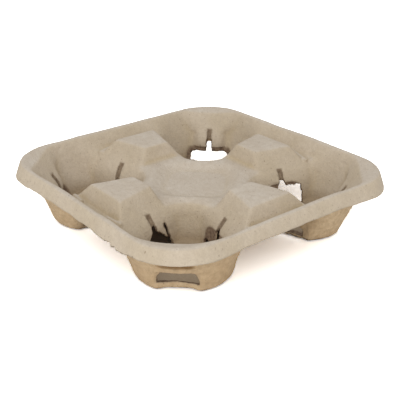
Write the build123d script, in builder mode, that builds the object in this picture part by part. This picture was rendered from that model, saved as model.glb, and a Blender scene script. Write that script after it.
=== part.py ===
from build123d import *
import math
import os

# Four-cup carrier tray, moulded as one sheet of paper pulp.
# Origin at the middle of the underside of the feet, +Z up, millimetres.

# Sheet and overall size
wall = 2.4
tray_height = 45.0
half_width = 108.0
corner_radius = 39.0

# Rim: crest at the top, skirt turned down outside, slope down to the valley inside
skirt_drop = 10.2
skirt_flare = 3.8
deck_level = 31.5
valley_half = 91.0
rim_slope = 54.0
crest_round = 2.4

# Central deck: shallow dish, and a trough that slopes down from the deck's edge into each pocket
dish_half = 30.0
dish_depth = 3.0
dish_slope = 24.0
dish_corner = 10.0
trough_start = 36.0
trough_radius = 25.0
trough_slope = 35.0
trough_length = 32.0

# Humps between the pockets
hump_top = 42.5
hump_outer = 79.5
hump_inner = 50.0
hump_outer_slope = 60.0
hump_inner_slope = 86.0
hump_root = 28.0
hump_round = 3.6

# Cup pockets, one in each quarter: round wall, narrowing to a rounded end on the side of the deck
pocket_centre = 54.5
floor_radius = 32.0
pocket_slope = 72.0
deck_end_offset = -17.8
deck_end_radius = 14.5
deck_end_slope = 82.0
wide_end_offset = 30.0
wide_end_radius = 44.0
floor_round = 3.0

# Flaps, three to a pocket: a slope at equal angles from the outward diagonal, with a steep foot
flap_slope = 52.5
flap_turn = 120.0
flap_level = 30.0
flap_foot_slope = 86.0
flap_round = 3.6
hump_flap_reach = 31.0
hump_flap_foot = 23.5
hump_flap_half = 24.0
hump_flap_cap = 30.0
hump_flap_back = 46.0
corner_flap_reach = 34.0
corner_flap_foot = 27.0
corner_flap_half = 12.5
corner_flap_cap = 39.5
corner_flap_back = 51.0

# Slot down the middle of each flap and arched window at its foot
slot_width = 4.4
slot_top = 29.0
window_half = 14.5
window_sill = 3.0
window_shoulder = 5.0
window_top = 13.5
window_reach = 5.5

# Levels beyond the sheet, from which the mould forms are built and trimmed
below = -8.0
above = 60.0
trim_half = 103.5


def rise(angle):
    """Height gained for each millimetre across, on a slope of this angle."""
    return math.tan(math.radians(angle))


def shift(angle, drop):
    """Sideways move, at one level, of a sloping face that goes back by the drop along its normal."""
    return drop / math.sin(math.radians(angle))


def corner_of(half):
    """Corner radius of the rounded square of this half width, concentric with the tray's outline."""
    return corner_radius - half_width + half


def rim_body(drop):
    """Solid within the skirt, up to the crest."""
    flare = math.degrees(math.atan2(skirt_drop, skirt_flare))
    top = tray_height - drop
    top_half = half_width - skirt_flare + drop / rise(flare) - shift(flare, drop)
    low_half = top_half + (top - below) / rise(flare)
    with BuildPart() as body:
        with BuildSketch(Plane.XY.offset(below)):
            RectangleRounded(2 * low_half, 2 * low_half, corner_of(low_half))
        with BuildSketch(Plane.XY.offset(top)):
            RectangleRounded(2 * top_half, 2 * top_half, corner_of(top_half))
        loft(ruled=True)
    return body.part


def basin_void(drop):
    """Hollow within the rim, down to the deck."""
    low_half = valley_half - drop / rise(rim_slope) + shift(rim_slope, drop)
    high_half = low_half + (above - deck_level + drop) / rise(rim_slope)
    with BuildPart() as basin:
        with BuildSketch(Plane.XY.offset(deck_level - drop)):
            RectangleRounded(2 * low_half, 2 * low_half, corner_of(low_half))
        with BuildSketch(Plane.XY.offset(above)):
            RectangleRounded(2 * high_half, 2 * high_half, corner_of(high_half))
        loft(ruled=True)
    return basin.part


def dish_void(drop):
    """Shallow dish in the middle of the deck, square to the diagonals."""
    low_half = dish_half - (dish_depth + drop) / rise(dish_slope) + shift(dish_slope, drop)
    high_half = dish_half + dish_depth / rise(dish_slope) + shift(dish_slope, drop)
    turned = Plane(origin=(0, 0, 0), x_dir=(1, 1, 0), z_dir=(0, 0, 1))
    with BuildPart() as dish:
        with BuildSketch(turned.offset(deck_level - dish_depth - drop)):
            RectangleRounded(2 * low_half, 2 * low_half, dish_corner)
        with BuildSketch(turned.offset(deck_level + dish_depth)):
            RectangleRounded(2 * high_half, 2 * high_half, dish_corner)
        loft(ruled=True)
    return dish.part


def trough_void(drop):
    """Round trough over the slope that leads from the deck down into the pocket of the first quarter."""
    lean = math.radians(trough_slope)
    along = (math.cos(lean) / math.sqrt(2), math.cos(lean) / math.sqrt(2), -math.sin(lean))
    away = (math.sin(lean) / math.sqrt(2), math.sin(lean) / math.sqrt(2), math.cos(lean))
    start = (trough_start / math.sqrt(2), trough_start / math.sqrt(2), deck_level)
    middle = tuple(point + trough_radius * part for point, part in zip(start, away))
    with BuildPart() as space:
        with BuildSketch(Plane(origin=middle, z_dir=along)):
            Circle(trough_radius + drop)
        extrude(amount=trough_length, both=True)
    return space.part


def hump_section(level, drop):
    """Corners of the section at one level of the hump on the +X side: a trapezium, wider outwards."""
    sink = hump_top - level
    inner = hump_inner - sink / rise(hump_inner_slope) + shift(hump_inner_slope, drop)
    outer = hump_outer + sink / rise(hump_outer_slope) - shift(hump_outer_slope, drop)
    lean = math.radians(45 + flap_turn)
    reach = hump_flap_reach - (flap_level - level) / rise(flap_slope) + shift(flap_slope, drop)
    # The side face is at right angles to the flap's direction, at the flap's distance from the cup's axis
    across = [pocket_centre + (reach + (along - pocket_centre) * math.sin(lean)) / math.cos(lean)
              for along in (inner, outer)]
    return [(inner, -across[0]), (outer, -across[1]), (outer, across[1]), (inner, across[0])]


def hump(drop):
    """Hump on the +X side, as a solid rooted in the flaps beside it."""
    with BuildPart() as block:
        for level in (hump_root, hump_top - drop):
            with BuildSketch(Plane.XY.offset(level)):
                with BuildLine():
                    Polyline(*hump_section(level, drop), close=True)
                make_face()
        loft(ruled=True)
        top_face = block.faces().sort_by(Axis.Z)[-1]
        sides = block.edges().filter_by(lambda e: abs(e.tangent_at(0.5).Z) > 0.1)
        fillet(top_face.edges() + sides, hump_round - drop)
    return block.part


def pocket_void(drop):
    """Space of the cup pocket of the first quarter, before its flaps."""
    floor = wall - drop
    low = floor_radius - drop / rise(pocket_slope) + shift(pocket_slope, drop)
    high = low + (above - floor) / rise(pocket_slope)
    widen = shift(deck_end_slope, drop) - drop / rise(deck_end_slope)
    cup = Plane(origin=(pocket_centre, pocket_centre, 0), x_dir=(1, 1, 0), z_dir=(0, 0, 1))
    with BuildPart() as narrowing:
        for level in (floor, above):
            draft = widen + (level - floor) / rise(deck_end_slope)
            with BuildSketch(cup.offset(level)):
                with Locations((deck_end_offset, 0)):
                    Circle(deck_end_radius + draft)
                with Locations((wide_end_offset, 0)):
                    Circle(wide_end_radius + draft)
                make_hull()
        loft(ruled=True)
        fillet(narrowing.faces().sort_by(Axis.Z)[0].edges(), floor_round + drop)
    with BuildPart() as space:
        with BuildSketch(cup.offset(floor)):
            Circle(low)
        with BuildSketch(cup.offset(above)):
            Circle(high)
        loft(ruled=True)
        fillet(space.faces().sort_by(Axis.Z)[0].edges(), floor_round + drop)
        add(narrowing.part, mode=Mode.INTERSECT)
    return space.part


def flap(drop, turn, reach, foot, half, cap, back):
    """Flap of the pocket of the first quarter, solid behind its slope and its steep foot."""
    heading = math.radians(45 + turn)
    upright = Plane(
        origin=(pocket_centre, pocket_centre, 0),
        x_dir=(math.cos(heading), math.sin(heading), 0),
        z_dir=(math.sin(heading), -math.cos(heading), 0),
    )
    slope_at_zero = reach - flap_level / rise(flap_slope) + shift(flap_slope, drop)
    foot_at_zero = foot - wall / rise(flap_foot_slope) + shift(flap_foot_slope, drop)
    bend = (foot_at_zero - slope_at_zero) / (1 / rise(flap_slope) - 1 / rise(flap_foot_slope))
    top = cap - drop
    with BuildPart() as block:
        with BuildSketch(upright):
            with BuildLine():
                Polyline(
                    (foot_at_zero + below / rise(flap_foot_slope), below),
                    (foot_at_zero + bend / rise(flap_foot_slope), bend),
                    (slope_at_zero + top / rise(flap_slope), top),
                    (back, top),
                    (back, below),
                    close=True,
                )
            make_face()
        extrude(amount=half - drop, both=True)
        away = block.faces().sort_by(Axis(upright.origin, upright.x_dir))[-1]
        base = block.faces().sort_by(Axis.Z)[0]
        fillet(block.edges() - away.edges() - base.edges(), flap_round - drop)
    return block.part


def flaps(drop):
    """The three flaps of the pocket of the first quarter."""
    corner = flap(drop, 0, corner_flap_reach, corner_flap_foot, corner_flap_half,
                  corner_flap_cap, corner_flap_back)
    left = flap(drop, flap_turn, hump_flap_reach, hump_flap_foot, hump_flap_half,
                hump_flap_cap, hump_flap_back)
    right = flap(drop, -flap_turn, hump_flap_reach, hump_flap_foot, hump_flap_half,
                 hump_flap_cap, hump_flap_back)
    return [corner, left, right]


def mould_form(drop):
    """Solid under the moulded surface, with every face set back by the drop."""
    with BuildPart() as form:
        add(rim_body(drop))
        add(basin_void(drop), mode=Mode.SUBTRACT)
        if crest_round > drop:
            fillet(form.faces().sort_by(Axis.Z)[-1].edges(), crest_round - drop)
        add(dish_void(drop), mode=Mode.SUBTRACT)
        with PolarLocations(0, 4):
            add(trough_void(drop), mode=Mode.SUBTRACT)
        with PolarLocations(0, 4):
            add(pocket_void(drop), mode=Mode.SUBTRACT)
        with PolarLocations(0, 4):
            add(hump(drop))
        for piece in flaps(drop):
            with PolarLocations(0, 4):
                add(piece)
    return form.part


def opening(turn, foot, reach):
    """Slot and arched window of one flap of the first quarter, as one cutting solid."""
    heading = math.radians(45 + turn)
    axes = Plane(
        origin=(pocket_centre, pocket_centre, 0),
        x_dir=(math.cos(heading), math.sin(heading), 0),
        z_dir=(0, 0, 1),
    )
    facing = Plane(
        origin=axes.from_local_coords((foot - window_reach / 2, 0, 0)),
        x_dir=axes.y_dir,
        z_dir=axes.x_dir,
    )
    slot_end = reach - (flap_level - slot_top) / rise(flap_slope)
    slot_start = foot - window_reach / 2
    with BuildPart() as cutter:
        with BuildSketch(facing):
            with BuildLine():
                ThreePointArc(
                    (-window_half, window_shoulder),
                    (0, window_top),
                    (window_half, window_shoulder),
                )
                Polyline(
                    (window_half, window_shoulder),
                    (window_half, window_sill),
                    (-window_half, window_sill),
                    (-window_half, window_shoulder),
                )
            make_face()
        extrude(amount=window_reach * 1.5)
        with BuildSketch(axes.offset(window_shoulder)):
            with Locations(((slot_start + slot_end) / 2, 0)):
                Rectangle(slot_end - slot_start, slot_width)
        extrude(amount=above - window_shoulder)
    return cutter.part


# The tray: the space between the upper and the lower face of the sheet
upper = mould_form(0)
lower = mould_form(wall)
cutters = [
    opening(0, corner_flap_foot, corner_flap_reach),
    opening(flap_turn, hump_flap_foot, hump_flap_reach),
    opening(-flap_turn, hump_flap_foot, hump_flap_reach),
]

with BuildPart() as outside:
    with BuildSketch(Plane.XY.offset(2 * below)):
        Rectangle(4 * half_width, 4 * half_width)
        RectangleRounded(2 * trim_half, 2 * trim_half, corner_of(trim_half), mode=Mode.SUBTRACT)
    extrude(amount=tray_height - skirt_drop - 2 * below)

with BuildPart() as tray:
    add(upper)
    add(lower, mode=Mode.SUBTRACT)
    add(outside.part, mode=Mode.SUBTRACT)
    for cutter in cutters:
        with PolarLocations(0, 4):
            add(cutter, mode=Mode.SUBTRACT)

tray.part.label = "tray"
os.makedirs("parts", exist_ok=True)
export_step(tray.part, "parts/tray.step")
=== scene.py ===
import math

import bpy
import numpy as np
from mathutils import Matrix, Vector


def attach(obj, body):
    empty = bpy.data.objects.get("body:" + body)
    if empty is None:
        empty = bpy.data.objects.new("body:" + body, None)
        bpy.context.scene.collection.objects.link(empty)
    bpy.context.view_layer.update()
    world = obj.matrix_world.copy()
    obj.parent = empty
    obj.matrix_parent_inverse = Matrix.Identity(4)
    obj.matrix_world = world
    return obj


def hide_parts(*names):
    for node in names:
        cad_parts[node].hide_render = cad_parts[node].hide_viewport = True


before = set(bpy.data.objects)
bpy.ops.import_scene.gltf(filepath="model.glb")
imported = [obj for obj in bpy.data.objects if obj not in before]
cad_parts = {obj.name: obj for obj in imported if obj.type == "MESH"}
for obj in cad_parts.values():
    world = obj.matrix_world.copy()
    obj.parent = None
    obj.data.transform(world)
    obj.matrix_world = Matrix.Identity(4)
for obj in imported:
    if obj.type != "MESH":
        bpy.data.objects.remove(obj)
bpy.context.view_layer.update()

# A four-cup carrier tray of moulded pulp: one sheet, modelled as a distance field and then meshed.
# Lengths are in millimetres until the mesh is made, and angles in degrees. All four quarters share
# one shape: px and py run from a cup's axis towards the tray's corner, u and v out along a hump and
# across it, and rho and tau along and across a flap. "Front" is the quarter at +X -Y.
MM = 0.001
SEED = 7
FAR = 1000.0
ROOT_TWO = math.sqrt(2.0)

# Sheet and rim
THICKNESS = 2.4
HEIGHT = 45.0
HALF = 108.0
CORNER = 39.0
SKIRT_DROP = 10.2
SKIRT_FLARE = 3.8
DECK = 31.5
VALLEY_HALF = 91.0
RIM_SLOPE = 54.0
TRIM_HALF = 103.5

# Uneven rim and hem: direction from the tray's middle, width of the place in degrees, and size
RIM_WAVE = 0.5
RIM_FULL = ((75.0, 20.0, 1.4), (42.0, 12.0, 0.9), (165.0, 25.0, 0.4))
RIM_FLAT = ((133.0, 8.0, 0.9),)
HEM_WAVE = 0.5
HEM_LOW = ((38.0, 13.0, 2.2), (-130.0, 17.0, 2.0))
TORN_SIDE = -64.0
TORN_WIDTH = 9.0
TORN_HEIGHT = 1.3
TORN_RAG = 1.2

# Deck: dish, raised edges and troughs down to the pockets
DISH_EDGE = 34.5
DISH_RUN = 13.0
DISH_DEPTH = 4.5
TROUGH_START = 36.0
TROUGH_RADIUS = 38.0
TROUGH_SLOPE = 35.0
TROUGH_LENGTH = 32.0

# Humps
HUMP_TOP = 44.3
HUMP_OUTER = 79.5
HUMP_INNER = 49.5
HUMP_OUTER_SLOPE = 60.0
HUMP_INNER_SLOPE = 72.0

# Short lip in the valley beside each hump: two ends in u, v, z and a radius
VALLEY_LIP = ((87.2, 29.0, 32.6), (89.4, 16.5, 33.6), 1.5)

# Pockets
CENTRE = 54.5
FLOOR_RADIUS = 32.0
POCKET_SLOPE = 72.0
DECK_END_OFFSET = -17.8
DECK_END_RADIUS = 14.5
DECK_END_SLOPE = 82.0
WIDE_END_OFFSET = 30.0
WIDE_END_RADIUS = 44.0

# Flaps
FLAP_SLOPE = 52.5
FLAP_LEVEL = 30.0
FOOT_SLOPE = 86.0
HUMP_REACH = 31.0
HUMP_FOOT = 23.5
HUMP_FLAP_HALF = 24.0
CORNER_REACH = 34.0
CORNER_FOOT = 27.0
CORNER_FLAP_HALF = 12.5
CORNER_CAP = 42.3
CORNER_KNEE = 26.0
CORNER_SPREAD = 0.55
SPREAD_COSINE = 0.88

# Widths of the rounded blends: between forms, and at the sheet's edges
VALLEY_BLEND = 5.0
MOUTH_BLEND = 3.0
POCKET_BLEND = 4.0
FLOOR_BLEND = 3.0
FLAP_BLEND = 3.0
HUMP_END_BLEND = 2.0
HUMP_EDGE_BLEND = 2.2
HUMP_JOIN = 2.5
HUMP_FLAP_JOIN = 2.0
LIP_JOIN = 1.2
FAN_BLEND = 6.0
CAP_BLEND = 2.0
CORNER_JOIN = 6.5
SKIRT_BLEND = 3.6
RIM_BLEND = 3.0
FACE_BLEND = 0.8
BRIDGE_JOIN = 2.0
HEM_BLEND = 1.0
GROOVE_BLEND = 0.6
CUT_BLEND = 1.0

# Slots and grooves
SLOT_HALF = 1.6
SLOT_TOP = 29.5
SLOT_THROUGH = 21.5
SLOT_SILL = 5.0
SLOT_RAG = 0.25
GROOVE_DEPTH = 1.5
GROOVE_BACKING = 1.0

# Windows
WINDOW_SILL = 3.0
WINDOW_LOW = 2.75
WINDOW_REACH = 5.5
HUMP_WINDOW_HALF = 17.0
HUMP_WINDOW_TOP = 20.5
HUMP_WINDOW_ROUND = 11.0
CORNER_WINDOW_HALF = 16.0
CORNER_WINDOW_TOP = 10.6
CORNER_WINDOW_ROUND = 6.0
FRONT_WINDOW_HALF = 13.2
FRONT_WINDOW_TOP = 15.4
FRONT_WINDOW_ROUND = 8.0
FRONT_SILL = 6.2
FRAME_HALF = 19.5
FRAME_TOP = 15.2
FRAME_ROUND = 8.0
WEB_REACH = 4.0
WEB_RECESS = 0.7
LOW_WINDOW_TOP = 8.0
BRIDGE_LOW = 18.5
BRIDGE_HIGH = 22.5
EDGE_THINNING = 1.1

# Torn windows. A tab's edges: level at tau = 0, slope, and length over a step of 1 in tau.
# Bars: two ends in tau, z and a radius.
TAB_LEFT = (20.5, -0.89, 1.34)
TAB_RIGHT = (21.0, 1.2, 1.56)
CRACK = ((11.3, 20.6), (15.4, 6.0), 0.45)
THREAD = ((-1.5, 20.0), (-6.0, 15.0), 0.8)
HALF_OPEN_SIDE = 2.5
HALF_OPEN_TOP = 17.0
HALF_OPEN_RISE = 3.0

# Random fields, and the pulp's roughness
NOISE_VALUES = 4096
NOISE_PRIMES = (73856093, 19349663, 83492791)
LUMP_HEIGHT = 0.22
FINE_TOP = 0.05
FINE_UNDER = 0.16
GROUND_LEVEL = 0.6

# Mesh
STEP = 1.0
SLOPE_REACH = 0.3
BEND_REACH = 2.5
PIECE_TRIANGLES = 190000
CUBE = [(i, j, k) for i in (0, 1) for j in (0, 1) for k in (0, 1)]

# Stage
WHITE = (1.0, 1.0, 1.0, 1.0)
FLOOR_SIZE = 6.0
FLOOR_DROP = 0.0002
FLOOR_SEEN = (2.2, 2.2, 2.2, 1.0)
FLOOR_PLAIN = (0.9, 0.9, 0.9, 1.0)
# Painted shadow on the floor: dark in a square under the tray's middle, fading to white over the two
# half-widths below, in metres
FLOOR_PAINTED_SHADOW = (0.1, 0.08, 0.065, 1.0)
PAINTED_SHADOW_HALF = 0.05
PAINTED_SHADOW_END = 0.062
AMBIENT = 0.76
LAMP_PLACE = (0.7, -0.85, 0.8)
LAMP_SIZE = 1.2
LAMP_POWER = 7.5

# Camera, in metres and degrees
CAMERA_AZIMUTH = 51.28
CAMERA_ELEVATION = 24.78
CAMERA_ROLL = -0.23
CAMERA_DISTANCE = 0.5608
CAMERA_FOCUS = (0.0, 0.0, 0.022)
CAMERA_LENS = 66.88
CAMERA_SHIFT = (0.0098, -0.0256)


def smax(a, b, k):
    """Greater of two distances, rounded over a width k."""
    near = np.maximum(k - np.abs(a - b), 0.0) / k
    return np.maximum(a, b) + near * near * k * 0.25


def smin(a, b, k):
    """Lesser of two distances, rounded over a width k."""
    return -smax(-a, -b, k)


def smooth(value, start, end):
    """0 before start and 1 after end, with a smooth way between."""
    t = np.clip((value - start) / (end - start), 0.0, 1.0)
    return t * t * (3.0 - 2.0 * t)


def fade(value, start, end):
    """1 before start and 0 after end, with a smooth way between."""
    return 1.0 - smooth(value, start, end)


def bank(across, rise, angle):
    """Distance beyond a face that slopes up at this angle from across = 0, rise = 0."""
    a = math.radians(angle)
    return across * math.sin(a) - rise * math.cos(a)


def capsule(place, start, end, radius):
    """Distance to a rounded bar between two points."""
    along = [q - p for p, q in zip(start, end)]
    offset = [c - p for c, p in zip(place, start)]
    t = sum(o * v for o, v in zip(offset, along)) / sum(v * v for v in along)
    t = np.clip(t, 0.0, 1.0)
    return np.sqrt(sum((o - t * v) ** 2 for o, v in zip(offset, along))) - radius


def lattice_noise(x, y, z, size, seed):
    """Smooth random field from -1 to 1 with lumps of this size."""
    values = np.random.default_rng(seed).uniform(-1.0, 1.0, NOISE_VALUES).astype(np.float32)
    cells = []
    parts = []
    for axis in (x, y, z):
        scaled = axis / size
        low = np.floor(scaled)
        cells.append(low.astype(np.int64))
        t = scaled - low
        parts.append(t * t * (3.0 - 2.0 * t))
    result = 0.0
    for corner in CUBE:
        key, weight = 0, 1.0
        for cell, part, shift, prime in zip(cells, parts, corner, NOISE_PRIMES):
            key = key ^ (cell + shift) * prime
            weight = weight * (part if shift else 1.0 - part)
        result = result + weight * values[key & (NOISE_VALUES - 1)]
    return result


def rounded_square(x, y):
    """Distance outside the tray's outline in plan."""
    qx = np.abs(x) - (HALF - CORNER)
    qy = np.abs(y) - (HALF - CORNER)
    outside = np.hypot(np.maximum(qx, 0.0), np.maximum(qy, 0.0))
    return outside + np.minimum(np.maximum(qx, qy), 0.0) - CORNER


def facing(x, y, angle, width):
    """1 in this direction from the middle of the tray, falling away to 0 beside it."""
    away = (np.arctan2(y, x) - math.radians(angle) + math.pi) % (2.0 * math.pi) - math.pi
    return np.exp(-(away / math.radians(width)) ** 2)


def swelling(x, y, places):
    """Sum of soft swellings, each in its own direction from the middle of the tray."""
    return sum(size * facing(x, y, angle, width) for angle, width, size in places)


def rim_distance(x, y):
    """Distance outside the rim's own uneven outline: wavy, full in places, flatter at one corner."""
    wave = RIM_WAVE * lattice_noise(x, y, np.zeros_like(x), 24.0, SEED + 7)
    return rounded_square(x, y) - wave - swelling(x, y, RIM_FULL) + swelling(x, y, RIM_FLAT)


def hem_level(x, y, z):
    """Level of the skirt's lower edge: wavy, lower at two corners, torn on one side."""
    wave = HEM_WAVE * lattice_noise(x, y, z, 9.0, SEED + 2)
    rag = TORN_HEIGHT + TORN_RAG * lattice_noise(x, y, z, 3.0, SEED + 8)
    torn = facing(x, y, TORN_SIDE, TORN_WIDTH) * rag
    return HEIGHT - SKIRT_DROP + wave - swelling(x, y, HEM_LOW) - torn


def flap_axes(px, py, turn):
    """Distances along and across a flap's direction, from the cup's axis."""
    heading = math.radians(45.0 + turn)
    c, s = math.cos(heading), math.sin(heading)
    return px * c + py * s, -px * s + py * c


def flap_face(rho, z, reach, foot):
    """Solid behind a flap's slope and its steep foot."""
    slope = -bank(rho - reach, z - FLAP_LEVEL, FLAP_SLOPE)
    steep = -bank(rho - foot, z - THICKNESS, FOOT_SLOPE)
    return smax(slope, steep, FLAP_BLEND)


def pocket_void(px, py, z):
    """Space of a cup pocket: round, narrowing to a rounded end at the deck."""
    cup = bank(np.hypot(px, py) - FLOOR_RADIUS, z - THICKNESS, POCKET_SLOPE)
    along = (px + py) / ROOT_TWO - DECK_END_OFFSET
    side = np.abs(px - py) / ROOT_TWO
    length = WIDE_END_OFFSET - DECK_END_OFFSET
    widen = (WIDE_END_RADIUS - DECK_END_RADIUS) / length
    level = math.sqrt(1.0 - widen * widen)
    reach = side * widen + along * level
    straight = side * level - along * widen - DECK_END_RADIUS
    near_end = np.hypot(side, along) - DECK_END_RADIUS
    narrow = np.where(reach < 0.0, near_end, straight)
    narrow = bank(narrow, z - THICKNESS, DECK_END_SLOPE)
    return smax(smax(cup, narrow, POCKET_BLEND), THICKNESS - z, FLOOR_BLEND)


def trough_void(ax, ay, z):
    """Round trough from the deck's edge down into a pocket."""
    lean = math.radians(TROUGH_SLOPE)
    along = (ax + ay) / ROOT_TWO - TROUGH_START
    side = (ax - ay) / ROOT_TWO
    up = along * math.sin(lean) + (z - DECK) * math.cos(lean) - TROUGH_RADIUS
    run = along * math.cos(lean) - (z - DECK) * math.sin(lean)
    return np.maximum(np.hypot(up, side) - TROUGH_RADIUS, run - TROUGH_LENGTH)


def deck_height(ax, ay):
    """Height of the deck: a dish with soft raised edges towards the pockets."""
    d1 = (ax + ay) / ROOT_TWO
    d2 = np.abs(ax - ay) / ROOT_TWO
    reach = (d1 ** 4 + d2 ** 4) ** 0.25
    return DECK - DISH_DEPTH * fade(reach, DISH_EDGE - DISH_RUN, DISH_EDGE)


def valley_and_deck(ax, ay, z, d):
    """Rim wall, valley and deck, with the troughs and the pockets taken out."""
    wall = -bank(d + HALF - VALLEY_HALF, z - DECK, RIM_SLOPE)
    solid = smin(wall, z - deck_height(ax, ay), VALLEY_BLEND)
    solid = smax(solid, -trough_void(ax, ay, z), MOUTH_BLEND)
    return smax(solid, -pocket_void(ax - CENTRE, ay - CENTRE, z), MOUTH_BLEND)


def hump(u, z, side):
    """Block between two pockets, with sloping ends, the flap's slope on its side and a flat top."""
    ends = smax(bank(u - HUMP_OUTER, HUMP_TOP - z, HUMP_OUTER_SLOPE),
                bank(HUMP_INNER - u, HUMP_TOP - z, HUMP_INNER_SLOPE), HUMP_END_BLEND)
    return smax(smax(ends, side, HUMP_EDGE_BLEND), z - HUMP_TOP, HUMP_EDGE_BLEND)


def hump_flap(tau, z, side):
    """Lower part of the sloping flap on a hump's side."""
    flap = smax(side, np.abs(tau) - HUMP_FLAP_HALF, FLAP_BLEND)
    return smax(flap, z - FLAP_LEVEL, FLAP_BLEND)


def corner_flap(px, py, z):
    """Sloping flap towards the tray's corner, spreading into a fan above its knee."""
    rho, tau = flap_axes(px, py, 0.0)
    face = flap_face(rho, z, CORNER_REACH, CORNER_FOOT)
    spread = CORNER_FLAP_HALF + CORNER_SPREAD * np.maximum(z - CORNER_KNEE, 0.0)
    fan = smax(face, (np.abs(tau) - spread) * SPREAD_COSINE, FAN_BLEND)
    return smax(fan, z - CORNER_CAP, CAP_BLEND)


def skirt_face(d, z):
    """Distance outside the skirt's flared outer face."""
    flare = math.atan2(SKIRT_DROP, SKIRT_FLARE)
    return d * math.sin(flare) + (z - HEIGHT + SKIRT_DROP) * math.cos(flare)


def mould(x, y, z):
    """Signed distance above the moulded face, negative in the mould."""
    ax, ay = np.abs(x), np.abs(y)
    u, v = np.maximum(ax, ay), np.minimum(ax, ay)
    d = rim_distance(x, y)
    rho, tau = flap_axes(u - CENTRE, v - CENTRE, -120.0)
    side = flap_face(rho, z, HUMP_REACH, HUMP_FOOT)
    solid = valley_and_deck(ax, ay, z, d)
    solid = smin(solid, hump(u, z, side), HUMP_JOIN)
    solid = smin(solid, hump_flap(tau, z, side), HUMP_FLAP_JOIN)
    solid = smin(solid, capsule((u, v, z), *VALLEY_LIP), LIP_JOIN)
    solid = smin(solid, corner_flap(ax - CENTRE, ay - CENTRE, z), CORNER_JOIN)
    return smax(smax(solid, skirt_face(d, z), SKIRT_BLEND), z - HEIGHT, RIM_BLEND)


def arch(tau, z, half, top, k):
    """Distance outside an arch with round upper corners."""
    return smax(np.abs(tau) - half, z - top, k)


def window(rho, z, foot, outline, rag):
    """Arched window in a flap's foot, negative inside."""
    hole = np.maximum(outline + rag * 0.6, WINDOW_SILL - z + rag * 0.7)
    middle = foot + (WINDOW_REACH - WINDOW_LOW) / 2.0
    return np.maximum(hole, np.abs(rho - middle) - (WINDOW_REACH + WINDOW_LOW) / 2.0)


def web_behind(rho, outline, foot):
    """Web of thin pulp that closes a window, negative inside."""
    return np.maximum(outline, np.abs(rho - foot) - WEB_REACH)


def above_line(tau, z, level, slope, length):
    """Distance above a straight line over tau."""
    return (z - level - slope * tau) / length


def torn_open(hole, tau, z, rag):
    """Window with a bent tab left between its slot and a thin crack."""
    tab = np.maximum(above_line(tau, z, *TAB_LEFT), above_line(tau, z, *TAB_RIGHT))
    crack = np.maximum(capsule((tau, z), *CRACK), np.maximum(hole, -6.0) - 1.5)
    return np.minimum(np.maximum(hole, tab + 0.4 * rag), crack)


def half_open(hole, tau, z, rag):
    """Window open only on one side of its slot, with a thread of pulp left across it."""
    torn = tau + HALF_OPEN_SIDE + 1.2 * rag
    top = z - HALF_OPEN_TOP + 1.4 * rag - HALF_OPEN_RISE * smooth(tau, -5.0, -2.0)
    open_part = np.maximum(hole, -capsule((tau, z), *THREAD))
    return np.maximum(open_part, np.maximum(torn, top))


def corner_window(px, py, z, rag, front):
    """Window of the corner flap, and its web. The front one is a clean, taller arch with no web."""
    rho, tau = flap_axes(px, py, 0.0)
    outline = arch(tau, z, CORNER_WINDOW_HALF, CORNER_WINDOW_TOP, CORNER_WINDOW_ROUND)
    low = window(rho, z, CORNER_FOOT, outline, rag)
    outline = arch(tau, z, FRONT_WINDOW_HALF, FRONT_WINDOW_TOP, FRONT_WINDOW_ROUND)
    tall = window(rho, z, CORNER_FOOT, outline, 0.5 * rag)
    hole = np.where(front, np.maximum(tall, FRONT_SILL - z + 0.6 * rag), low)
    web = web_behind(rho, arch(tau, z, FRAME_HALF, FRAME_TOP, FRAME_ROUND), CORNER_FOOT)
    return hole, np.where(front, FAR, web)


def hump_window(px, py, z, turn, rag):
    """Whole window of a hump's flap, the web that may close it, and its tau."""
    rho, tau = flap_axes(px, py, turn)
    outline = arch(tau, z, HUMP_WINDOW_HALF, HUMP_WINDOW_TOP, HUMP_WINDOW_ROUND)
    return window(rho, z, HUMP_FOOT, outline, rag), web_behind(rho, outline, HUMP_FOOT), tau


def windows(x, y, z):
    """All windows, negative inside, and how far each place is outside a web of thin pulp."""
    px, py = np.abs(x) - CENTRE, np.abs(y) - CENTRE
    rag = lattice_noise(x, y, z, 3.4, SEED) + 0.6 * lattice_noise(x, y, z, 1.6, SEED + 1)
    front = (x > 0.0) & (y < 0.0)
    right = (x > 0.0) & (y > 0.0)
    holes, web = corner_window(px, py, z, rag, front)
    hole, closed, tau = hump_window(px, py, z, 120.0, rag)
    hole = np.where(front, torn_open(hole, tau, z, rag), hole)
    hole = np.where(right, half_open(hole, tau, z, rag), hole)
    holes = np.minimum(holes, hole)
    web = np.where(right, np.minimum(web, closed), web)
    hole, closed, _ = hump_window(px, py, z, -120.0, rag)
    holes = np.minimum(holes, np.maximum(hole, z - LOW_WINDOW_TOP + 2.0 * rag))
    web = np.where(front | right, np.minimum(web, closed), web)
    return holes, web


def slot(rho, tau, z, reach, foot, rag):
    """Straight slot down the middle of a flap, negative inside."""
    end = reach - (FLAP_LEVEL - SLOT_TOP) / math.tan(math.radians(FLAP_SLOPE))
    cut = np.maximum(np.abs(tau) - SLOT_HALF + rag, np.maximum(rho - end, foot - WINDOW_LOW - rho))
    return np.maximum(cut, WINDOW_SILL + SLOT_SILL - z)


def slots(x, y, z):
    """All slots, negative inside."""
    px, py = np.abs(x) - CENTRE, np.abs(y) - CENTRE
    rag = SLOT_RAG * lattice_noise(x, y, z, 2.6, SEED + 9)
    result = FAR
    for turn, reach, foot in ((0.0, CORNER_REACH, CORNER_FOOT), (120.0, HUMP_REACH, HUMP_FOOT),
                              (-120.0, HUMP_REACH, HUMP_FOOT)):
        rho, tau = flap_axes(px, py, turn)
        result = np.minimum(result, slot(rho, tau, z, reach, foot, rag))
    return result


def blind_drop(x, y):
    """How far below SLOT_THROUGH the slots stay blind: at -X -Y, and all the way at the front corner."""
    drop = np.where((x < 0.0) & (y < 0.0), SLOT_THROUGH - CORNER_WINDOW_TOP, 0.0)
    return np.where((x > CENTRE) & (y < -CENTRE), SLOT_THROUGH, drop)


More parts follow.
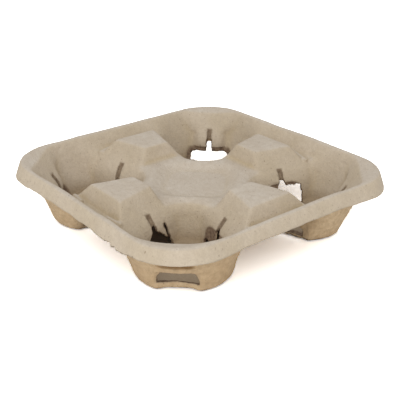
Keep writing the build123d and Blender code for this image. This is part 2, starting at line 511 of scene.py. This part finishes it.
def bridge(x, y, z, top):
    """Band across the back of the corner flap's foot, flush with the pocket's round outer wall."""
    px, py = np.abs(x) - CENTRE, np.abs(y) - CENTRE
    _, tau = flap_axes(px, py, 0.0)
    band = np.maximum(np.abs(tau) - CORNER_FLAP_HALF, np.maximum(BRIDGE_LOW - z, z - BRIDGE_HIGH))
    wall = np.maximum(pocket_void(px, py, z) - THICKNESS, top + THICKNESS / 2.0)
    return np.maximum(band, wall)


def thickness(z, cut, slit):
    """The sheet's thickness: thinner at the cut edges, thicker behind the grooves."""
    grooved = smooth(z, SLOT_THROUGH - 1.0, SLOT_THROUGH + 1.0)
    return THICKNESS - EDGE_THINNING * fade(cut, 0.0, 4.0) + GROOVE_BACKING * fade(slit, 0.0, 2.5) * grooved


def sheet(x, y, z):
    """Signed distance to the sheet, negative inside it, with the distances that it is made from."""
    top = mould(x, y, z)
    holes, web = windows(x, y, z)
    slit = slots(x, y, z)
    cut = np.minimum(holes, np.maximum(slit, z - SLOT_THROUGH + blind_drop(x, y)))
    groove = np.maximum(slit, -top - GROOVE_DEPTH)
    hem = hem_level(x, y, z)
    below_hem = np.minimum(hem - z, rounded_square(x, y) + HALF - TRIM_HALF)
    body = smax(top + WEB_RECESS * fade(web, -0.6, 0.2), -top - thickness(z, cut, slit), FACE_BLEND)
    body = smin(body, bridge(x, y, z, top), BRIDGE_JOIN)
    body = smax(body, below_hem, HEM_BLEND)
    body = smax(body, -groove, GROOVE_BLEND)
    return smax(body, -cut, CUT_BLEND), top, cut, groove, web, hem


def sheet_distance(x, y, z):
    """Signed distance to the sheet alone."""
    return sheet(x, y, z)[0]


def crossed_cells(inside):
    """The grid's cells that the surface passes through."""
    shape = np.array(inside.shape) - 1
    count = np.zeros(shape, np.int8)
    for i, j, k in CUBE:
        count += inside[i:shape[0] + i, j:shape[1] + j, k:shape[2] + k]
    return np.argwhere((count > 0) & (count < 8))


def cell_points(field, cells):
    """The middle of the surface's crossings of each cell's edges, in grid steps."""
    total = np.zeros((len(cells), 3))
    crossings = np.zeros(len(cells))
    for start in CUBE:
        for axis in range(3):
            if start[axis]:
                continue
            end = list(start)
            end[axis] = 1
            near = field[tuple((cells + start).T)]
            far = field[tuple((cells + end).T)]
            crosses = (near < 0.0) != (far < 0.0)
            point = np.array(start, float)[None, :] + np.zeros((len(cells), 3))
            point[:, axis] += np.where(crosses, near / np.where(crosses, near - far, 1.0), 0.0)
            total += point * crosses[:, None]
            crossings += crosses
    return cells + total / crossings[:, None]


def edge_quads(inside, cells):
    """A quad around each grid edge that the surface crosses, facing outwards."""
    shape = np.array(inside.shape) - 1
    index = np.full(shape, -1, np.int64)
    index[tuple(cells.T)] = np.arange(len(cells))
    quads = []
    for axis in range(3):
        one, two = (axis + 1) % 3, (axis + 2) % 3
        here = [slice(None)] * 3
        there = [slice(None)] * 3
        here[axis] = slice(0, -1)
        there[axis] = slice(1, None)
        first, second = inside[tuple(here)], inside[tuple(there)]
        edges = np.argwhere(first != second)
        across = edges[:, [one, two]]
        edges = edges[np.all((across > 0) & (across < shape[[one, two]]), axis=1)]
        ring = []
        for a, b in ((0, 0), (1, 0), (1, 1), (0, 1)):
            cell = edges.copy()
            cell[:, one] -= a
            cell[:, two] -= b
            ring.append(index[tuple(cell.T)])
        ring = np.stack(ring, 1)
        inward = ~first[tuple(edges.T)]
        ring[inward] = ring[inward][:, ::-1]
        quads.append(ring)
    return np.concatenate(quads)


def surface_net():
    """Points and quads on the sheet's surface, from its distance on a regular grid."""
    low = np.array([-HALF - 3.0, -HALF - 3.0, -2.5])
    high = np.array([HALF + 3.0, HALF + 3.0, HEIGHT + 2.5])
    axes = [np.arange(a, b + STEP, STEP, dtype=np.float32) for a, b in zip(low, high)]
    field = sheet_distance(*np.meshgrid(*axes, indexing="ij"))
    inside = field < 0.0
    cells = crossed_cells(inside)
    return cell_points(field, cells) * STEP + low, edge_quads(inside, cells)


def on_each_side(points, function, axis, reach):
    """The function's values this far after each point along an axis, and as far before it."""
    offset = np.zeros(3)
    offset[axis] = reach
    return function(*(points + offset).T), function(*(points - offset).T)


def onto_surface(points):
    """The points moved onto the sheet's surface, and the outward direction at each."""
    slope = np.zeros_like(points)
    for axis in range(3):
        after, before = on_each_side(points, sheet_distance, axis, SLOPE_REACH)
        slope[:, axis] = after - before
    slope /= 2.0 * SLOPE_REACH
    steep = np.maximum((slope ** 2).sum(1), 0.25)
    move = -slope * (sheet_distance(*points.T) / steep)[:, None]
    move *= np.minimum(1.0, 0.5 * STEP / np.maximum(np.linalg.norm(move, axis=1), 1e-6))[:, None]
    return points + move, slope / np.sqrt(steep)[:, None]


def mould_bend(points, top):
    """How the moulded face curves at each point: below 0 in a hollow."""
    bend = 0.0
    for axis in range(3):
        after, before = on_each_side(points, mould, axis, BEND_REACH)
        bend = bend + after + before - 2.0 * top
    return bend


def roughness(x, y, z, under):
    """Height of the pulp's lumps: finer and rougher on the lower side, and never into the ground."""
    fine = lattice_noise(x, y, z, 2.2, SEED + 3) + 0.6 * lattice_noise(x, y, z, 1.1, SEED + 4)
    lumps = lattice_noise(x, y, z, 17.0, SEED + 5) + 0.5 * lattice_noise(x, y, z, 8.0, SEED + 6)
    shift = LUMP_HEIGHT * lumps + fine * (FINE_TOP + FINE_UNDER * under)
    return np.where(z < GROUND_LEVEL, np.minimum(shift, 0.0) * 0.4, shift)


def surface_values(points, normal):
    """The values at each point that the material uses."""
    x, y, z = points.T
    _, top, cut, groove, web, hem = sheet(x, y, z)
    under = smooth(-top, 0.7, 1.7)
    on_skirt = rounded_square(x, y) > TRIM_HALF - HALF
    return {
        "under": under,
        "near_cut": fade(cut, 0.2, 1.9),
        "groove": fade(groove, 0.2, 0.9),
        "web": fade(web, -0.3, 1.0) * (1.0 - under),
        # Dark along the hem: the torn fibres where it is torn, and a faint painted shade line along the
        # rest of the skirt's lower edge
        "torn_hem_and_painted_hem_shade": fade(np.abs(z - hem), 0.3, 1.4) * on_skirt * (0.15 + facing(x, y, TORN_SIDE, 10.0)),
        # Painted contact shadow: dark on the lowest few millimetres of the sheet, along the feet
        "low": fade(z, 0.7, 2.6),
        # Painted shade: a weight that grows towards the floors of the pockets, on the upper side only
        "painted_pocket_shade": fade(z, 4.0, 16.0) * (1.0 - under),
        "level": smooth(normal[:, 2], 0.7, 0.95),
        "bend": mould_bend(points, top),
    }


def mesh_from(points, quads, values):
    """A smooth mesh in metres, with these values at its vertices."""
    mesh = bpy.data.meshes.new("tray_sheet")
    mesh.vertices.add(len(points))
    mesh.vertices.foreach_set("co", (points * MM).astype(np.float32).ravel())
    mesh.loops.add(quads.size)
    mesh.loops.foreach_set("vertex_index", quads.ravel().astype(np.int32))
    mesh.polygons.add(len(quads))
    mesh.polygons.foreach_set("loop_start", np.arange(0, quads.size, 4, dtype=np.int32))
    for name, column in values.items():
        layer = mesh.attributes.new(name, "FLOAT", "POINT")
        layer.data.foreach_set("value", np.asarray(column, np.float32))
    mesh.update(calc_edges=True)
    mesh.validate()
    mesh.polygons.foreach_set("use_smooth", np.ones(len(mesh.polygons), bool))
    return mesh


def tray_mesh():
    """The tray's sheet as one closed mesh with its surface values."""
    points, quads = surface_net()
    points, normal = onto_surface(points)
    values = surface_values(points, normal)
    shift = roughness(*points.T, values["under"])
    return mesh_from(points + normal * shift[:, None], quads, values)


class Nodes:
    """Short helper for the node tree of a material or a world."""

    def __init__(self, owner):
        owner.use_nodes = True
        self.tree = owner.node_tree
        self.tree.nodes.clear()

    def put(self, socket, value):
        """Give a socket a constant value or a link."""
        if isinstance(value, bpy.types.NodeSocket):
            self.tree.links.new(value, socket)
        else:
            socket.default_value = value

    def add(self, kind, values=None, **settings):
        """A node with these settings; values holds socket values or links."""
        node = self.tree.nodes.new(kind)
        for name, value in settings.items():
            setattr(node, name, value)
        for name, value in (values or {}).items():
            self.put(node.inputs[name], value)
        return node

    def attribute(self, name):
        """A mesh attribute's value."""
        return self.add("ShaderNodeAttribute", attribute_name=name).outputs["Fac"]

    def place(self):
        """The object's own coordinates."""
        return self.add("ShaderNodeTexCoord").outputs["Object"]

    def noise(self, scale, detail=2.0):
        """Noise over the object's own coordinates, with this many lumps a metre."""
        values = {"Vector": self.place(), "Scale": scale, "Detail": detail}
        return self.add("ShaderNodeTexNoise", values).outputs["Fac"]

    def ramp(self, value, start, end, low=0.0, high=1.0):
        """value mapped from start..end to low..high, clamped."""
        values = {"Value": value, "From Min": start, "From Max": end, "To Min": low, "To Max": high}
        return self.add("ShaderNodeMapRange", values).outputs["Result"]

    def spread(self, value, low, high):
        """value mapped from 0..1 to low..high."""
        return self.ramp(value, 0.0, 1.0, low, high)

    def math(self, operation, a, b):
        """Arithmetic on two values."""
        return self.add("ShaderNodeMath", {0: a, 1: b}, operation=operation).outputs[0]

    def mix(self, factor, a, b):
        """Two colours mixed."""
        return self.add("ShaderNodeMix", {0: factor, 6: a, 7: b}, data_type="RGBA").outputs[2]

    def for_camera(self, seen, others):
        """One shader for what the camera sees directly and another for all other light."""
        ray = self.add("ShaderNodeLightPath").outputs["Is Camera Ray"]
        values = {0: ray, 1: others.outputs[0], 2: seen.outputs[0]}
        return self.add("ShaderNodeMixShader", values).outputs[0]


def linear(red, green, blue):
    """A colour from its 0 to 255 display values."""
    def one(value):
        value /= 255.0
        return value / 12.92 if value <= 0.04045 else ((value + 0.055) / 1.055) ** 2.4
    return (one(red), one(green), one(blue), 1.0)


def upper_pulp_with_painted_shade(n, patch, mottle):
    """Grey-beige upper side: greyer where it is level, with painted shade: browner in hollows and darker
    low in the pockets.
    """
    sloping = n.mix(patch, linear(206, 192, 172), linear(197, 182, 158))
    level = n.mix(patch, linear(206, 196, 182), linear(199, 187, 171))
    colour = n.mix(n.attribute("level"), sloping, level)
    colour = n.mix(n.spread(mottle, 0.0, 0.4), colour, linear(180, 165, 145))
    # Painted shade in the creases: a browner, darker tone where the moulded face is hollow
    hollow = n.ramp(n.attribute("bend"), -0.2, -1.6)
    colour = n.mix(n.spread(hollow, 0.0, 0.45), colour, linear(184, 165, 130))
    # Painted shade low in the pockets: a darker brown mixed in towards their floors
    return n.mix(n.spread(n.attribute("painted_pocket_shade"), 0.0, 0.75), colour, linear(160, 140, 114))


def lower_pulp(n, patch, mottle):
    """Ochre lower side."""
    colour = n.mix(patch, linear(220, 196, 160), linear(204, 177, 140))
    return n.mix(n.spread(mottle, 0.0, 0.6), colour, linear(172, 145, 112))


def painted_shade_on_webs_and_grooves(n, colour):
    """Webs behind closed windows and grooves above the slots, painted in streaked dark browns as the shade
    inside the openings.
    """
    streak = n.ramp(n.noise(420.0, 3.0), 0.35, 0.65)
    web = n.mix(streak, linear(148, 128, 108), linear(112, 92, 76))
    groove = n.mix(streak, linear(152, 134, 112), linear(128, 111, 93))
    # Painted shade: the webs and the grooves take these dark browns in place of the shade in the openings
    colour = n.mix(n.attribute("web"), colour, web)
    return n.mix(n.attribute("groove"), colour, groove)


def edges_and_painted_contact_shadow(n, colour, under, mottle):
    """Darker brown near the cut edges; dark along the hem, most where it is torn, partly the torn fibres
    and partly painted shade under the hem; and a painted contact shadow along the feet near the ground.
    """
    cut = n.math("MULTIPLY", n.attribute("near_cut"), n.spread(under, 1.0, 0.35))
    cut = n.math("MULTIPLY", cut, n.spread(mottle, 0.7, 1.3))
    colour = n.mix(n.ramp(cut, 0.3, 0.9), colour, linear(84, 64, 49))
    # Painted contact shadow along the feet and the dark hem, mixed in as a dark brown
    edge = n.math("ADD", n.attribute("torn_hem_and_painted_hem_shade"), n.attribute("low"))
    edge = n.math("MULTIPLY", edge, n.spread(mottle, 0.3, 1.2))
    return n.mix(n.ramp(edge, 0.2, 1.0), colour, linear(82, 62, 45))


def specks(n, colour, speck):
    """Faint fine specks and a few darker dots."""
    colour = n.mix(n.spread(speck, 0.17, 0.0), colour, linear(120, 100, 80))
    dots = n.ramp(n.noise(620.0, 1.0), 0.71, 0.76, 0.0, 0.45)
    return n.mix(dots, colour, linear(110, 86, 64))


def pulp_material():
    """Grey-beige smooth pulp above, rough ochre pulp below, brown at its cut edges, and painted shade in
    the pockets, hollows, webs, grooves, along the hem and along the feet.
    """
    material = bpy.data.materials.new("pulp")
    n = Nodes(material)
    under = n.attribute("under")
    patch = n.ramp(n.noise(28.0, 3.0), 0.35, 0.65)
    mottle = n.ramp(n.noise(260.0, 4.0), 0.3, 0.7)
    speck = n.ramp(n.noise(900.0, 2.0), 0.25, 0.75)
    colour = n.mix(under, upper_pulp_with_painted_shade(n, patch, mottle), lower_pulp(n, patch, mottle))
    colour = painted_shade_on_webs_and_grooves(n, colour)
    colour = edges_and_painted_contact_shadow(n, colour, under, mottle)
    colour = specks(n, colour, speck)
    height = n.math("ADD", mottle, speck)
    bump = n.add("ShaderNodeBump", {"Height": height, "Strength": 0.5, "Distance": 0.0005})
    shader = n.add("ShaderNodeBsdfPrincipled", {"Base Color": colour, "Roughness": 0.92,
                                                "Specular IOR Level": 0.2, "Normal": bump.outputs[0]})
    n.add("ShaderNodeOutputMaterial", {"Surface": shader.outputs[0]})
    return material


def make_tray():
    """The visible tray, in place of the CAD solid."""
    tray = bpy.data.objects.new("tray_pulp", tray_mesh())
    bpy.context.scene.collection.objects.link(tray)
    tray.data.materials.append(pulp_material())
    triangles = 2 * len(tray.data.polygons)
    if triangles > PIECE_TRIANGLES:
        thin = tray.modifiers.new("fewer", "DECIMATE")
        thin.ratio = PIECE_TRIANGLES / triangles
    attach(tray, "root")
    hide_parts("tray")


def floor_material():
    """White that keeps the tray's soft shadow, with a painted shadow: a dark square on the middle of the
    floor, under the tray.
    """
    material = bpy.data.materials.new("floor_white")
    n = Nodes(material)
    split = n.add("ShaderNodeSeparateXYZ", {"Vector": n.place()})
    sides = [n.math("ABSOLUTE", split.outputs[i], 0.0) for i in (0, 1)]
    away = n.math("MAXIMUM", *sides)
    # Painted shadow: the floor's colour is dark within the square under the tray and white beyond it
    shade = n.mix(n.ramp(away, PAINTED_SHADOW_HALF, PAINTED_SHADOW_END), FLOOR_PAINTED_SHADOW, FLOOR_SEEN)
    seen = n.add("ShaderNodeBsdfDiffuse", {"Color": shade})
    plain = n.add("ShaderNodeBsdfDiffuse", {"Color": FLOOR_PLAIN})
    n.add("ShaderNodeOutputMaterial", {"Surface": n.for_camera(seen, plain)})
    return material


def make_floor():
    """The floor that the tray stands on."""
    bpy.ops.mesh.primitive_plane_add(size=FLOOR_SIZE, location=(0.0, 0.0, -FLOOR_DROP))
    floor = bpy.context.object
    floor.name = "floor"
    floor.data.materials.append(floor_material())


def make_surroundings():
    """Even white light from all around, pure white where the camera sees it."""
    world = bpy.data.worlds.new("studio")
    bpy.context.scene.world = world
    n = Nodes(world)
    seen = n.add("ShaderNodeBackground", {"Color": WHITE, "Strength": 1.0})
    ambient = n.add("ShaderNodeBackground", {"Color": WHITE, "Strength": AMBIENT})
    n.add("ShaderNodeOutputWorld", {"Surface": n.for_camera(seen, ambient)})


def make_lamp():
    """One large soft lamp, pointed at the tray."""
    data = bpy.data.lights.new("key", "AREA")
    data.shape = "DISK"
    data.size = LAMP_SIZE
    data.energy = LAMP_POWER
    lamp = bpy.data.objects.new("key", data)
    lamp.location = LAMP_PLACE
    lamp.rotation_mode = "QUATERNION"
    lamp.rotation_quaternion = Vector(LAMP_PLACE).to_track_quat("Z", "Y")
    bpy.context.scene.collection.objects.link(lamp)


def make_camera():
    """Camera at the photograph's place, from a fit to the outline of the rim and feet."""
    azimuth, elevation, roll = (math.radians(a) for a in (CAMERA_AZIMUTH, CAMERA_ELEVATION, CAMERA_ROLL))
    back = Vector((math.sin(azimuth) * math.cos(elevation),
                   -math.cos(azimuth) * math.cos(elevation),
                   math.sin(elevation)))
    right = Vector((math.cos(azimuth), math.sin(azimuth), 0.0))
    up = back.cross(right)
    side = right * math.cos(roll) + up * math.sin(roll)
    over = up * math.cos(roll) - right * math.sin(roll)
    data = bpy.data.cameras.new("camera")
    data.sensor_width = 36.0
    data.lens = CAMERA_LENS
    data.shift_x, data.shift_y = CAMERA_SHIFT
    data.clip_start = 0.01
    camera = bpy.data.objects.new("camera", data)
    place = Matrix((side, over, back)).transposed().to_4x4()
    place.translation = Vector(CAMERA_FOCUS) + back * CAMERA_DISTANCE
    camera.matrix_world = place
    bpy.context.scene.collection.objects.link(camera)
    bpy.context.scene.camera = camera


make_tray()
make_floor()
make_surroundings()
make_lamp()
make_camera()
bpy.context.scene.view_settings.view_transform = "Standard"
